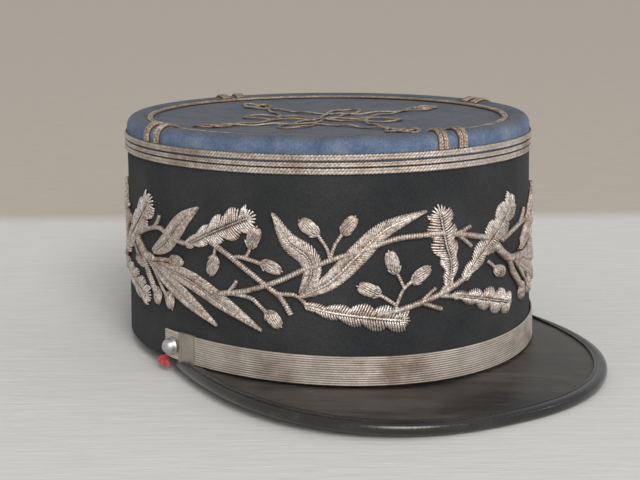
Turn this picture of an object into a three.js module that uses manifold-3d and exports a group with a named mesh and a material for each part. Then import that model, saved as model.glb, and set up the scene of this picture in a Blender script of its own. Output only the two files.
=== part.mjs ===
// A kepi: a stiff oval cap with a dark cloth band, a pale blue top, silver braid, an embroidered
// garland of oak and olive, a lace chin strap on two buttons and a patent leather visor.
// Millimetres. In the cap's own frame the lower edge of the crown lies in z = 0, the front is -Y
// and the wearer's left is +X. The finished cap is tipped back a little, as it stands by itself on
// a table: on the front of the visor and on the rear edge of the band.
import * as THREE from "three";
import { mergeVertices } from "three/addons/utils/BufferGeometryUtils.js";
import Module from "manifold-3d";

// ---- driving dimensions ----
const crown = {
  height: 96.9, // lower edge to the crest of the rim
  baseLength: 200.8, // front to back, outside
  baseWidth: 171.2,
  topLength: 199,
  topWidth: 166.6,
  lean: -1.6, // how far the top is shifted, towards the front
  waist: 0.35, // how much the wall draws in at half height
  wall: 2.6,
};
const gap = 0.3; // between pieces that touch
const seam = 86.6; // height where the dark band ends and the blue cloth begins
const rim = { roll: 4.3, lip: 9.9, lipDrop: 2.2, thickness: 2 };
const disc = { sink: 4.3, thickness: 2 };
const seamBraids = [
  { name: "seam_braid_upper", low: 88.1, high: 90.4, proud: 1.2 },
  { name: "seam_braid_middle", low: 85.6, high: 87.2, proud: 1.1 },
  { name: "seam_braid_lower", low: 82.7, high: 85.1, proud: 1.2 },
];
// rise: how much higher the ring's outer edge lies on the slope of the rim
const ringBraid = { inset: 10.2, width: 2.6, thickness: 1.1, rise: 0.45 };
// the pairs of braid that climb the rim and end beside the ring, at "endDrop" below the crest
const riser = { spacing: 9, width: 4.2, thickness: 1.1, endGap: 0.6, endDrop: 1.25 };
const riserPlaces = [
  { side: "front", at: -0.4 },
  { side: "left", at: 138.5 },
  { side: "back", at: 288.5 },
  { side: "right", at: -138.5 },
];
const strap = { height: 11.8, thickness: 0.9, clear: 0.3, end: 129, foot: 0.4, rise: 2.4 };
const slide = { from: 109.3, to: 118, thickness: 0.7, overlap: 0.1 };
const button = { at: 122.3, height: 8.6, diameter: 7.6, base: 1, foot: 6.4, dome: 4 };
const visor = {
  halfWidth: 85.9,
  halfLength: 92.6,
  centre: -47.6,
  squareness: 2.37, // exponent of the outline, 2 would be an ellipse
  drop: -4.35, // height of the edge's middle line at the sides' line y = -baseLength / 2
  slope: 0.024,
  curl: 2.9, // how much the outline rises towards its sides, at 90 mm from the middle
  twist: -0.008, // the worn visor hangs a little lower on the wearer's left
  camber: 0.9,
  thickness: 2,
  underStrap: 0.8, // from the strap's lower edge down to the visor's top face, at the crown
  tip: 77, // degrees round the crown from the front
  tipOnOutline: 104.3, // the same place in degrees round the visor's outline
};
const binding = { lip: 5.5, shell: 1, end: 0.075 }; // end: part of its round that is left bare at each tip
const relief = { leafBase: 0.42, stemBase: 0.6, leaf: 1.8, stem: 1.35, bud: 2.1 }; // heights of the embroidery
const steps = 60; // facets round the oval
const joinTolerance = 0.2; // slivers smaller than this are dropped where embroidery crosses
const cloth = { dark: "#17181b", blue: "#5b6f94" };
const metal = { braid: "#b7a99a", bullion: "#a89a88", lace: "#8f877b", button: "#c9c7c2" };

// ---- the oval of the crown ----
const lerp = THREE.MathUtils.lerp;
const radians = THREE.MathUtils.degToRad;

function ovalHalves(z) {
  const t = z / crown.height;
  const pinch = crown.waist * 4 * t * (1 - t);
  return {
    x: lerp(crown.baseWidth, crown.topWidth, t) / 2 - pinch,
    y: lerp(crown.baseLength, crown.topLength, t) / 2 - pinch,
    shift: crown.lean * t,
  };
}

// A point on the outside of the crown, angle from the front towards the wearer's left,
// or "out" mm clear of it.
function crownPoint(angle, z, out = 0) {
  const half = ovalHalves(z);
  const normal = new THREE.Vector2(Math.sin(angle) / half.x, -Math.cos(angle) / half.y).normalize();
  return new THREE.Vector3(
    half.x * Math.sin(angle) + out * normal.x,
    -half.y * Math.cos(angle) + half.shift + out * normal.y,
    z,
  );
}

// The angle that lies a given distance round the crown from its front, at half height.
const middle = ovalHalves(crown.height / 2);
const ovalCurve = new THREE.EllipseCurve(0, 0, middle.y, middle.x);
ovalCurve.arcLengthDivisions = 1440;
const girth = ovalCurve.getLength();

function angleAt(distance) {
  const turns = Math.floor(distance / girth);
  return 2 * Math.PI * (turns + ovalCurve.getUtoTmapping(0, distance - turns * girth));
}

function bandPoint(distance, z, out) {
  return crownPoint(angleAt(distance), z, out);
}

// ---- solids from rows of sections ----

// A closed solid through sections that all have the same number of points, in order round each.
// "ring" joins the last section to the first, otherwise both ends are capped.
function loft(sections, ring = false) {
  const around = sections[0].length;
  const count = sections.length;
  const indices = [];
  for (let row = 0; row < (ring ? count : count - 1); row += 1) {
    const next = ((row + 1) % count) * around;
    for (let k = 0; k < around; k += 1) {
      const a = row * around + k;
      const b = row * around + ((k + 1) % around);
      indices.push(a, b, next + ((k + 1) % around), a, next + ((k + 1) % around), next + k);
    }
  }
  if (!ring) {
    const last = (count - 1) * around;
    const outline = sections.map((section) => flatten(section));
    for (const [a, b, c] of THREE.ShapeUtils.triangulateShape(outline[0], [])) {
      indices.push(a, c, b);
    }
    for (const [a, b, c] of THREE.ShapeUtils.triangulateShape(outline[count - 1], [])) {
      indices.push(last + a, last + b, last + c);
    }
  }
  const points = sections.flat();
  if (enclosed(points, indices) < 0) indices.reverse();
  return new THREE.BufferGeometry().setFromPoints(points).setIndex(indices);
}

// A section's points in its own plane, so that its cap can be triangulated.
function flatten(section) {
  const origin = section[0];
  const along = section[1].clone().sub(origin).normalize();
  const areaNormal = new THREE.Vector3();
  section.forEach((point, k) => {
    areaNormal.add(point.clone().cross(section[(k + 1) % section.length]));
  });
  const across = areaNormal.normalize().cross(along).normalize();
  return section.map((point) => {
    const arm = point.clone().sub(origin);
    return new THREE.Vector2(arm.dot(along), arm.dot(across));
  });
}

function enclosed(points, indices) {
  let sum = 0;
  for (let k = 0; k < indices.length; k += 3) {
    const [a, b, c] = [0, 1, 2].map((corner) => points[indices[k + corner]]);
    sum += a.dot(b.clone().cross(c));
  }
  return sum / 6;
}

const range = (count) => Array.from({ length: count }, (_, k) => k);
const ringAngles = range(steps).map((k) => (2 * Math.PI * k) / steps);

// A ring round the crown from a profile of [out, z] pairs.
function ovalRing(profile) {
  return loft(ringAngles.map((angle) => profile.map(([out, z]) => crownPoint(angle, z, out))), true);
}

// ---- joining solids ----
const wasm = await Module();
wasm.setup();

function toSolid(geometry) {
  const bare = geometry.clone();
  bare.deleteAttribute("normal");
  bare.deleteAttribute("uv");
  const merged = mergeVertices(bare, 1e-4);
  return new wasm.Manifold(
    new wasm.Mesh({
      numProp: 3,
      vertProperties: merged.attributes.position.array,
      triVerts: new Uint32Array(merged.index.array),
    }),
  );
}

function join(geometries) {
  const whole = geometries.map(toSolid).reduce((sum, solid) => sum.add(solid));
  const mesh = whole.asOriginal().simplify(joinTolerance).getMesh();
  return new THREE.BufferGeometry()
    .setAttribute("position", new THREE.BufferAttribute(mesh.vertProperties, 3))
    .setIndex(new THREE.BufferAttribute(mesh.triVerts, 1));
}

// ---- the cap and its pieces ----
const cap = new THREE.Group();

function addPiece(name, geometry, color, roughness = 0.9, metalness = 0) {
  const mesh = new THREE.Mesh(
    geometry,
    new THREE.MeshStandardMaterial({ color, roughness, metalness, flatShading: true }),
  );
  mesh.name = name;
  cap.add(mesh);
  return mesh;
}

// Dark band, from the lower edge up to the seam.
function bandProfile() {
  const half = crown.height / 2;
  const top = seam - gap / 2;
  const inner = -crown.wall;
  return [[0, 0], [0, half], [0, top], [inner, top], [inner, half], [inner, 0]];
}
addPiece("crown_band", ovalRing(bandProfile()), cloth.dark);

// Blue cloth above the seam: a short upright strip that rolls over into the rim.
function rimProfile() {
  const start = crown.height - rim.roll;
  const roll = [0, 30, 60, 90].map(radians).map((turn) => [
    -rim.roll * (1 - Math.cos(turn)),
    start + rim.roll * Math.sin(turn),
  ]);
  const lipTop = crown.height - rim.lipDrop;
  return [
    [0, seam + gap / 2],
    ...roll,
    [-rim.lip, lipTop],
    [-rim.lip, lipTop - rim.thickness],
    [-rim.roll, crown.height - rim.thickness],
    [-crown.wall, start],
    [-crown.wall, seam + gap / 2],
  ];
}
addPiece("crown_rim", ovalRing(rimProfile()), cloth.blue);

// The disc that closes the top, dished towards its middle: how far out, and what part of the sink
// is made up there.
const discRise = [[0, 0], [0.45, 0.12], [0.8, 0.55], [1, 1]];

function discGeometry() {
  const edge = crown.height - rim.lipDrop;
  const centre = crown.height - disc.sink;
  const top = discRise.map(([reach, part]) => new THREE.Vector2(reach, lerp(centre, edge, part)));
  const under = top.map(({ x, y }) => new THREE.Vector2(x, y - disc.thickness)).reverse();
  const geometry = new THREE.LatheGeometry([...top, ...under], steps);
  const position = geometry.attributes.position;
  const hub = ovalHalves(crown.height).shift;
  for (let k = 0; k < position.count; k += 1) {
    const [across, z, back] = [position.getX(k), position.getY(k), position.getZ(k)];
    const reach = Math.hypot(across, back);
    const edgePoint = crownPoint(Math.atan2(across, -back), crown.height, -rim.lip - gap);
    position.setXYZ(k, edgePoint.x * reach, hub + (edgePoint.y - hub) * reach, z);
  }
  return geometry;
}
addPiece("crown_disc", discGeometry(), cloth.blue);

// Three rows of soutache over the seam.
for (const { name, low, high, proud } of seamBraids) {
  addPiece(name, ovalRing([[gap, low], [gap, high], [proud, high], [proud, low]]), metal.braid, 0.5, 0.6);
}

// One row of soutache round the top, over the edge of the disc.
const ringFoot = crown.height - rim.lipDrop + gap;
const ringInner = -ringBraid.inset - ringBraid.width / 2;
const ringOuter = -ringBraid.inset + ringBraid.width / 2;
const ringTop = ringFoot + ringBraid.thickness;
addPiece(
  "ring_braid",
  loft(
    ringAngles.map((angle) => {
      const corner = (out, z) => crownPoint(angle, crown.height, out).setZ(z);
      return [
        corner(ringInner, ringFoot),
        corner(ringOuter, ringFoot + ringBraid.rise),
        corner(ringOuter, ringTop + ringBraid.rise),
        corner(ringInner, ringTop),
      ];
    }),
    true,
  ),
  metal.braid,
  0.5,
  0.6,
);

// Pairs of soutache that climb from the seam over the rim, at the front, back and sides.
function riserGeometry(distance) {
  const start = crown.height - rim.roll;
  const low = seamBraids[0].high + gap;
  const turns = [0, 22.5, 45, 67.5, 90].map(radians);
  const inner = gap;
  const outer = gap + riser.thickness;
  // the route over the rim: a foot line and a top line in the plane of out and z
  const route = [
    [[inner, low], [outer, low]],
    ...turns.map((turn) =>
      [inner, outer].map((lift) => [
        -rim.roll + (rim.roll + lift) * Math.cos(turn),
        start + (rim.roll + lift) * Math.sin(turn),
      ]),
    ),
    [inner, outer].map((lift) => [ringOuter + riser.endGap, crown.height - riser.endDrop + lift]),
  ];
  const angle = angleAt(distance);
  const crest = crownPoint(angle, crown.height);
  const tangent = crownPoint(angle + 0.01, crown.height).sub(crest).setZ(0);
  tangent.normalize().multiplyScalar(riser.width / 2);
  return loft(
    route.map(([[footOut, footZ], [topOut, topZ]]) => {
      const foot = crownPoint(angle, crown.height, footOut).setZ(footZ);
      const top = crownPoint(angle, crown.height, topOut).setZ(topZ);
      // below the crest the wall is a little wider than at the crest
      const spread = crownPoint(angle, Math.min(footZ, crown.height)).sub(crest).setZ(0);
      foot.add(spread);
      top.add(spread);
      return [
        foot.clone().sub(tangent),
        foot.clone().add(tangent),
        top.clone().add(tangent),
        top.clone().sub(tangent),
      ];
    }),
  );
}
for (const { side, at } of riserPlaces) {
  for (const [name, step] of [["a", -0.5], ["b", 0.5]]) {
    addPiece(`riser_${side}_${name}`, riserGeometry(at + step * riser.spacing), metal.braid, 0.5, 0.6);
  }
}

// ---- the knot on the disc ----
const knot = { width: 2.2, thickness: 1, lift: 0.35 };
const arms = [
  { turn: -90, length: 76 },
  { turn: 0, length: 61 },
  { turn: 90, length: 72 },
  { turn: 180, length: 61 },
];

// Height of the dished disc under a point of the top.
function discHeight(x, y) {
  const hub = ovalHalves(crown.height).shift;
  const angle = Math.atan2(x / crown.topWidth, -(y - hub) / crown.topLength);
  const edge = crownPoint(angle, crown.height, -rim.lip - gap);
  const reach = Math.min(1, Math.hypot(x, y - hub) / Math.hypot(edge.x, edge.y - hub));
  const edgeZ = crown.height - rim.lipDrop;
  const centreZ = crown.height - disc.sink;
  const k = discRise.findIndex(([far]) => far >= reach && far > 0);
  const [[near, low], [far, high]] = [discRise[k - 1], discRise[k]];
  return lerp(centreZ, edgeZ, lerp(low, high, (reach - near) / (far - near)));
}

// A flat cord along points of the top, as a strip that lies on the disc.
function cordOnDisc(points, count) {
  const curve = new THREE.CatmullRomCurve3(points.map(([x, y]) => new THREE.Vector3(x, y, 0)));
  return loft(
    range(count + 1).map((k) => {
      const point = curve.getPoint(k / count);
      const tangent = curve.getTangent(k / count);
      const side = new THREE.Vector3(-tangent.y, tangent.x, 0).multiplyScalar(knot.width / 2);
      const foot = discHeight(point.x, point.y) + knot.lift + gap;
      return [
        point.clone().sub(side).setZ(foot),
        point.clone().add(side).setZ(foot),
        point.clone().add(side).setZ(foot + knot.thickness),
        point.clone().sub(side).setZ(foot + knot.thickness),
      ];
    }),
  );
}

// One arm in its own frame, x along the arm as a part of its length, y across in mm:
// two strands that run side by side, cross, and end in a trefoil of small loops.
const armStrand = [
  [0.2, -14], [0.36, -7], [0.58, -3.4], [0.72, 0], [0.8, 4.6], [0.87, 6.4], [0.9, 3], [0.86, -1.5],
];
const armTip = [[0.84, -3], [0.93, -4.2], [1, 0], [0.93, 4.2], [0.84, 3]];
const petal = [[5, 0], [17, 7], [27, 13], [31, 20], [25, 25], [16, 20], [9, 12], [2, 4]];

function knotParts() {
  const parts = [];
  for (const { turn, length } of arms) {
    const place = (mirror) => ([along, across]) => {
      const arm = new THREE.Vector2(along * length, across * mirror);
      return arm.rotateAround(new THREE.Vector2(), radians(turn)).toArray();
    };
    for (const mirror of [-1, 1]) {
      parts.push(cordOnDisc(armStrand.map(place(mirror)), 9));
    }
    parts.push(cordOnDisc(armTip.map(place(1)), 5));
    const quarter = petal.map(([x, y]) =>
      new THREE.Vector2(x, y).rotateAround(new THREE.Vector2(), radians(turn)).toArray(),
    );
    parts.push(cordOnDisc(quarter, 9));
  }
  parts.push(cordOnDisc([[-6, -3], [0, 0], [6, 3]], 2), cordOnDisc([[-3, 6], [0, 0], [3, -6]], 2));
  return parts;
}
addPiece("crown_knot", join(knotParts()), metal.braid, 0.5, 0.6);

// ---- chin strap, its slides and buttons ----
function strapFoot(angle) {
  return strap.foot + strap.rise * Math.sin(angle) ** 2;
}

function strapGeometry() {
  const count = 44;
  return loft(
    range(count + 1).map((k) => {
      const angle = angleAt(lerp(-strap.end, strap.end, k / count));
      const foot = strapFoot(angle);
      const outer = strap.clear + strap.thickness;
      const top = foot + strap.height;
      return [[strap.clear, foot], [outer, foot], [outer, top], [strap.clear, top]].map(
        ([out, z]) => crownPoint(angle, z, out),
      );
    }),
  );
}
addPiece("chin_strap", strapGeometry(), metal.lace, 0.5, 0.6);

// A flat loop round the strap, open towards the band.
function slideGeometry(side) {
  const inner = strap.clear + strap.thickness + gap;
  const outer = inner + slide.thickness;
  const count = 3;
  return loft(
    range(count + 1).map((k) => {
      const angle = angleAt(side * lerp(slide.from, slide.to, k / count));
      const low = strapFoot(angle) - gap;
      const high = low + strap.height + 2 * gap;
      const lip = slide.overlap;
      return [
        [strap.clear, low - lip], [outer, low - lip], [outer, high + lip], [strap.clear, high + lip],
        [strap.clear, high], [inner, high], [inner, low], [strap.clear, low],
      ].map(([out, z]) => crownPoint(angle, z, out));
    }),
  );
}

// A domed button on a short flat base.
function buttonMesh(name, side) {
  const radius = button.diameter / 2;
  const dome = [0, 18, 36, 54, 72].map(radians).map(
    (turn) => new THREE.Vector2(radius * Math.cos(turn), button.base + button.dome * Math.sin(turn)),
  );
  const profile = [
    new THREE.Vector2(0, 0),
    new THREE.Vector2(button.foot / 2, 0),
    ...dome,
    new THREE.Vector2(0, button.base + button.dome),
  ];
  const mesh = addPiece(name, new THREE.LatheGeometry(profile, 16), metal.button, 0.35, 0.9);
  const seat = strap.clear + strap.thickness + gap + 0.1; // the strap is flat across the button's foot
  mesh.position.copy(bandPoint(side * button.at, button.height, seat));
  const outward = bandPoint(side * button.at, button.height, seat + 1).sub(
    bandPoint(side * button.at, button.height, seat),
  );
  mesh.quaternion.setFromUnitVectors(new THREE.Vector3(0, 1, 0), outward.normalize());
}
for (const [name, side] of [["left", 1], ["right", -1]]) {
  addPiece(`strap_slide_${name}`, slideGeometry(side), metal.lace, 0.5, 0.5);
  buttonMesh(`button_${name}`, side);
}

// A tuft of red thread that shows under the right-hand end of the strap: height, half width and
// how far it stands off the band.
const tuft = { at: -129, levels: [[2.2, 1, 1.4], [0.7, 2.6, 2.6], [-0.8, 3.2, 3], [-2, 1.8, 2.2]] };

function tuftGeometry() {
  const foot = strap.clear + 0.1;
  return loft(
    tuft.levels.map(([z, half, proud]) => [
      bandPoint(tuft.at - half, z, foot),
      bandPoint(tuft.at + half, z, foot),
      bandPoint(tuft.at + half * 0.7, z, foot + proud),
      bandPoint(tuft.at - half * 0.7, z, foot + proud),
    ]),
  );
}
addPiece("thread_tuft", tuftGeometry(), "#b0323a");

// ---- visor ----

// The outline of the visor at an angle from its front: the outer edge of the binding, at the
// height of its middle line.
function visorEdge(turn) {
  const [sin, cos] = [Math.sin(turn), Math.cos(turn)];
  const power = visor.squareness;
  const reach = (Math.abs(sin) ** power + Math.abs(cos) ** power) ** (-1 / power);
  const x = visor.halfWidth * sin * reach;
  const y = visor.centre - visor.halfLength * cos * reach;
  const level = visor.drop + visor.slope * (y + crown.baseLength / 2);
  return new THREE.Vector3(x, y, level + visor.curl * (x / 90) ** 2 + visor.twist * x);
}

// Unit vector from the outline into the visor, level.
function visorInward(turn) {
  const ahead = visorEdge(turn + 0.01).sub(visorEdge(turn - 0.01));
  return new THREE.Vector3(-ahead.y, ahead.x, 0).normalize();
}

const visorStations = range(37).map((k) => k / 36);

// The visor's middle surface "part" of the way round it: at the crown, half way and at the edge.
function visorLine(part) {
  const angle = radians(lerp(-visor.tip, visor.tip, part));
  const turn = radians(lerp(-visor.tipOnOutline, visor.tipOnOutline, part));
  const inner = crownPoint(angle, 0, gap + 0.1);
  inner.z = strapFoot(angle) - visor.thickness / 2 - visor.underStrap;
  const inward = visorInward(turn);
  const edge = visorEdge(turn);
  const outer = edge.clone().addScaledVector(inward, 2);
  const mid = inner.clone().lerp(outer, 0.5);
  mid.z += visor.camber * Math.min(1, inner.distanceTo(outer) / 30);
  return { inner, mid, outer, edge, inward };
}

function visorGeometry() {
  const half = visor.thickness / 2;
  return loft(
    visorStations.map((part) => {
      const { inner, mid, outer } = visorLine(part);
      const line = [outer, mid, inner];
      return [
        ...line.map((point) => point.clone().setZ(point.z - half)),
        ...line.reverse().map((point) => point.clone().setZ(point.z + half)),
      ];
    }),
  );
}
addPiece("visor", visorGeometry(), "#1b1a18", 0.25);

// Leather binding folded over the visor's edge.
function bindingGeometry() {
  const slot = visor.thickness / 2 + 0.4;
  const skin = slot + binding.shell;
  const section = [
    [0, 0], [0.6, skin * 0.72], [1.8, skin], [binding.lip, skin], [binding.lip, slot], [1.6, slot],
    [1.6, -slot], [binding.lip, -slot], [binding.lip, -skin], [1.8, -skin], [0.6, -skin * 0.72],
  ];
  return loft(
    visorStations.map((station) => {
      const { mid, outer, edge, inward } = visorLine(lerp(binding.end, 1 - binding.end, station));
      const arm = mid.clone().sub(outer);
      const slope = arm.z / arm.dot(inward);
      return section.map(([depth, z]) => {
        const rise = slope * Math.max(0, depth - 2);
        return edge.clone().addScaledVector(inward, depth).setZ(edge.z + z + rise);
      });
    }),
  );
}
addPiece("visor_binding", bindingGeometry(), "#141312", 0.2);

// ---- embroidered garland ----
// The garland is one spray that repeats three times round the band, a little longer at the back.
// Places are in mm from the start of the spray and above the lower edge.
const spray = { start: -152, length: 178 };
const longSpray = (girth - spray.length) / 2;
const sprays = [
  { start: spray.start, stretch: 1 },
  { start: spray.start + spray.length, stretch: longSpray / spray.length },
  { start: spray.start + spray.length + longSpray, stretch: longSpray / spray.length },
];
const leaves = [
  { kind: "olive", width: 9.6, rib: [[13, 44.8], [24, 50.6], [35.3, 60.7], [45.5, 67.3]] },
  { kind: "olive", width: 7.8, rib: [[8, 42], [25, 35], [40, 28.3], [55, 21.1]] },
  { kind: "olive", width: 8.2, rib: [[18, 41.2], [40, 37.4], [58, 30.5], [76, 21.4]] },
  { kind: "olive", width: 9, rib: [[91.5, 36.3], [96, 44.5], [94.6, 51.5], [87, 57.3], [80.7, 68]] },
  { kind: "olive", width: 8.8, rib: [[91, 35.6], [102.6, 41.6], [113, 51.6], [123.5, 61.4], [140, 67.8]] },
  { kind: "oak", width: 12.6, rib: [[38, 51.2], [54, 58.5], [72, 66]] },
  { kind: "oak", width: 13, rib: [[149, 37], [150.3, 46], [148, 54], [145.2, 67.4]] },
  { kind: "oak", width: 13.4, rib: [[155.6, 38.6], [165, 47.5], [176, 56], [187.6, 66.6]] },
  { kind: "oak", width: 11, rib: [[150.5, 33.8], [163, 30.8], [185.2, 24.6]] },
  { kind: "oak", width: 10.8, rib: [[93, 32.6], [104, 30], [118, 27.9], [132.5, 25.7]] },
];
const buds = [
  { at: [31.5, 44], turn: 3, length: 9, width: 4.8 },
  { at: [16.7, 26.8], turn: -85, length: 7.8, width: 6.3 },
  { at: [26.6, 26.6], turn: -70, length: 7.6, width: 6.2 },
  { at: [53, 44.8], turn: -110, length: 9, width: 6.2 },
  { at: [72.6, 58], turn: 70, length: 9.4, width: 6.3 },
  { at: [80.2, 46.7], turn: -18, length: 9.4, width: 5.4 },
  { at: [81, 26.2], turn: -42, length: 8.6, width: 6 },
  { at: [95, 62.8], turn: 145, length: 9.4, width: 6 },
  { at: [110.4, 63.7], turn: 55, length: 8.6, width: 5.6 },
  { at: [117.5, 38.6], turn: 160, length: 9.6, width: 5.6 },
  { at: [126.5, 49], turn: 108, length: 9.6, width: 5.8 },
  { at: [138, 43.3], turn: 38, length: 9.6, width: 5.6 },
  { at: [177.5, 39], turn: -15, length: 8.4, width: 5.5 },
];
const stems = [
  { width: 3.2, route: [[-4, 50.6], [0, 46.6], [6, 43], [15, 42.4]] },
  { width: 1.8, route: [[12, 41.8], [19, 42.7], [28.5, 43.8]] },
  { width: 2.6, route: [[5, 43], [8, 37], [12.5, 32.3], [16, 28.4]] },
  { width: 1.6, route: [[10, 41], [16, 35.8], [22.2, 29.8], [25.6, 28]] },
  { width: 1.9, route: [[0, 51], [10.4, 54.4], [20, 55.8], [30, 52.7], [41, 51.8]] },
  { width: 1.8, route: [[14, 55], [17, 57.5], [19.8, 61]] },
  { width: 2.2, route: [[52, 54.6], [63.5, 48.7], [80.1, 38.1], [84.5, 34.4], [88.2, 28.4]] },
  { width: 1.5, route: [[55, 54], [53.6, 47.6]] },
  { width: 1.7, route: [[62.5, 49], [67, 49.7], [78, 47.4]] },
  { width: 1.5, route: [[66.5, 49.4], [69.6, 50.6], [71.8, 55]] },
  { width: 2.2, route: [[55, 34], [67.6, 36.2], [82.2, 41.2], [92.1, 46], [96, 48]] },
  { width: 1.7, route: [[61, 35.4], [63.5, 38], [65, 40.4]] },
  { width: 1.7, route: [[62.5, 35], [71, 34], [75, 31.3], [79.4, 27.6]] },
  { width: 1.8, route: [[79.4, 38.2], [83, 36.6], [90, 36.2], [95, 32]] },
  { width: 2.2, route: [[95, 47], [105.2, 51], [116, 54], [129, 58], [148, 58.6]] },
  { width: 1.5, route: [[103.2, 50], [102, 54.7], [97.4, 61.6]] },
  { width: 1.5, route: [[103, 50], [105, 56], [109, 62]] },
  { width: 2.4, route: [[120, 28.6], [132.3, 31], [147, 35.4], [158, 40.6]] },
  { width: 2, route: [[145.6, 35], [149.4, 39.4]] },
  { width: 2, route: [[144, 34.6], [153, 33]] },
  { width: 1.7, route: [[138, 32.8], [141.5, 35.8], [144, 37.6]] },
  { width: 1.9, route: [[137, 32.7], [141, 31], [146.5, 28.8]] },
  { width: 1.5, route: [[127.6, 29.4], [127.4, 32.4], [119.6, 38]] },
  { width: 1.5, route: [[127.7, 31.4], [131, 38.4], [136, 42]] },
  { width: 1.4, route: [[131, 38.4], [129.7, 41.7], [127.6, 46]] },
  { width: 2.4, route: [[150, 58], [158, 56.6], [170, 53.6]] },
  { width: 1.8, route: [[152, 57.7], [156, 58.4], [159.8, 59.8]] },
  { width: 1.8, route: [[153.5, 57.4], [157, 54.5], [160.3, 51.8]] },
  { width: 1.5, route: [[169, 44.6], [176, 39.6]] },
];

// Half widths along the two sides of a leaf, "part" of the way from its stalk to its tip.
function leafHalf(kind, part, side) {
  if (kind === "olive") return 0.09 + 0.91 * Math.sin(Math.PI * part ** 0.9) ** 0.85;
  const body = Math.min(1, 0.14 + 2.1 * part) * Math.min(1, 0.2 + 4.5 * (1 - part));
  return body * (0.8 + 0.2 * Math.cos(2 * Math.PI * (4 * part + (side < 0 ? 0.35 : 0))));
}

function onBand(origin, [along, z], out) {
  return bandPoint(origin.start + along * origin.stretch, z, out);
}

// A ridge of embroidery along a route, three corners a section.
function ridge(origin, route, count, halfWidths, crest, base) {
  const curve = new THREE.CatmullRomCurve3(route.map(([along, z]) => new THREE.Vector3(along, z, 0)));
  return loft(
    range(count + 1).map((k) => {
      const part = k / count;
      const point = curve.getPoint(part);
      const tangent = curve.getTangent(part);
      const [left, right] = halfWidths(part);
      const shifted = (reach) => [point.x - tangent.y * reach, point.y + tangent.x * reach];
      return [
        onBand(origin, shifted(left), base),
        onBand(origin, shifted(0), crest(part)),
        onBand(origin, shifted(-right), base),
      ];
    }),
  );
}

function leafSolid(origin, { kind, width, rib }) {
  const half = (part) => [1, -1].map((side) => (width / 2) * leafHalf(kind, part, side));
  const crest = (part) => lerp(1.1, relief.leaf, Math.sin(Math.PI * part));
  return ridge(origin, rib, kind === "oak" ? 10 : 6, half, crest, relief.leafBase);
}

function stemSolid(origin, { width, route }) {
  const half = () => [width / 2, width / 2];
  return ridge(origin, route, route.length + 1, half, () => relief.stem, relief.stemBase);
}

function budSolid(origin, { at, turn, length, width }) {
  const reach = [Math.cos(radians(turn)) * length * 0.5, Math.sin(radians(turn)) * length * 0.5];
  const route = [-1, 0, 1].map((step) => [at[0] + step * reach[0], at[1] + step * reach[1]]);
  const swell = (part) => 0.2 + 0.8 * Math.sin(Math.PI * part);
  const half = (part) => [(width / 2) * swell(part), (width / 2) * swell(part)];
  const crest = (part) => lerp(1, relief.bud, Math.sin(Math.PI * part));
  return ridge(origin, route, 4, half, crest, relief.leafBase);
}

const embroidery = sprays.flatMap((origin) => [
  ...leaves.map((leaf) => leafSolid(origin, leaf)),
  ...stems.map((stem) => stemSolid(origin, stem)),
  ...buds.map((bud) => budSolid(origin, bud)),
]);
addPiece("garland", join(embroidery), metal.bullion, 0.5, 0.6);

// ---- the cap as it stands ----
// Tipped back until the visor's lowest point and the rear of the band are level, and moved so that
// the middle of its box is over the origin with the lowest point at z = 0.
const rear = crown.baseLength / 2;
const corner = new THREE.Vector3();
const underside = cap.getObjectByName("visor_binding").geometry.attributes.position;
const tilts = range(underside.count).map((k) => {
  corner.fromBufferAttribute(underside, k);
  return Math.atan2(-corner.z, rear - corner.y);
});
cap.rotation.x = -Math.max(...tilts);
cap.updateMatrixWorld(true);
const box = new THREE.Box3().setFromObject(cap, true);
const centre = box.getCenter(new THREE.Vector3());
cap.position.set(-centre.x, -centre.y, -box.min.z);

export default cap;
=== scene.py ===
import bisect
import random
from math import atan2, cos, exp, hypot, pi, radians, sin, tau

import bmesh
import bpy
from mathutils import Matrix, Vector


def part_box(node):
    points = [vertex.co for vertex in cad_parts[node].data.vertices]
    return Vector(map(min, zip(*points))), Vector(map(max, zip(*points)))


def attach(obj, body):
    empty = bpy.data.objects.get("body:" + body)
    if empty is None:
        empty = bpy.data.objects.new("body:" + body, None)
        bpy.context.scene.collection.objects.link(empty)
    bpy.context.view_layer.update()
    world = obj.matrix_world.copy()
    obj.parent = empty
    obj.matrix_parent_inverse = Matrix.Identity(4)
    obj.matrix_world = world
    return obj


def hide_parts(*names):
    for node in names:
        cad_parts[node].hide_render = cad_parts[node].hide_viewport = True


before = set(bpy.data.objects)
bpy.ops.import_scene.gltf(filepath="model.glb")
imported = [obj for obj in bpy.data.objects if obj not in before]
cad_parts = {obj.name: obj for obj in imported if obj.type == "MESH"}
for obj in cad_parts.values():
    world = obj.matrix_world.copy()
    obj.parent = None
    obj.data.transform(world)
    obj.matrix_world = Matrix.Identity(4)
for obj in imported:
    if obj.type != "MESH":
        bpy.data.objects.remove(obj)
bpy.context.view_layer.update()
print("frame loaded")

# Everything below is worked out in the cap's own frame, in millimetres: the lower edge of the
# band lies in z = 0, the front is -Y and the wearer's left is +X. "seat" then stands it on the floor.
crown = {
    "height": 96.9,
    "baseLength": 200.8,
    "baseWidth": 171.2,
    "topLength": 199.0,
    "topWidth": 166.6,
    "lean": -1.6,
    "waist": 0.35,
    "wall": 2.6,
    "seam": 86.6,  # where the dark band ends
    "tiltBack": radians(1.858823),
}


def seatMatrix():
    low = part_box("crown_band")[0]
    half = crown["baseLength"] / 2000
    tilt = crown["tiltBack"]
    place = (0, low.y + half * cos(tilt), low.z + half * sin(tilt))
    return Matrix.Translation(place) @ Matrix.Rotation(-tilt, 4, "X")


seat = seatMatrix()
seatFromMm = seat @ Matrix.Scale(0.001, 4)
upward = Vector((0, 0, 1))


def lerp(a, b, part):
    return a + (b - a) * part


def clamp(value, low=0.0, high=1.0):
    return max(low, min(high, value))


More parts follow.
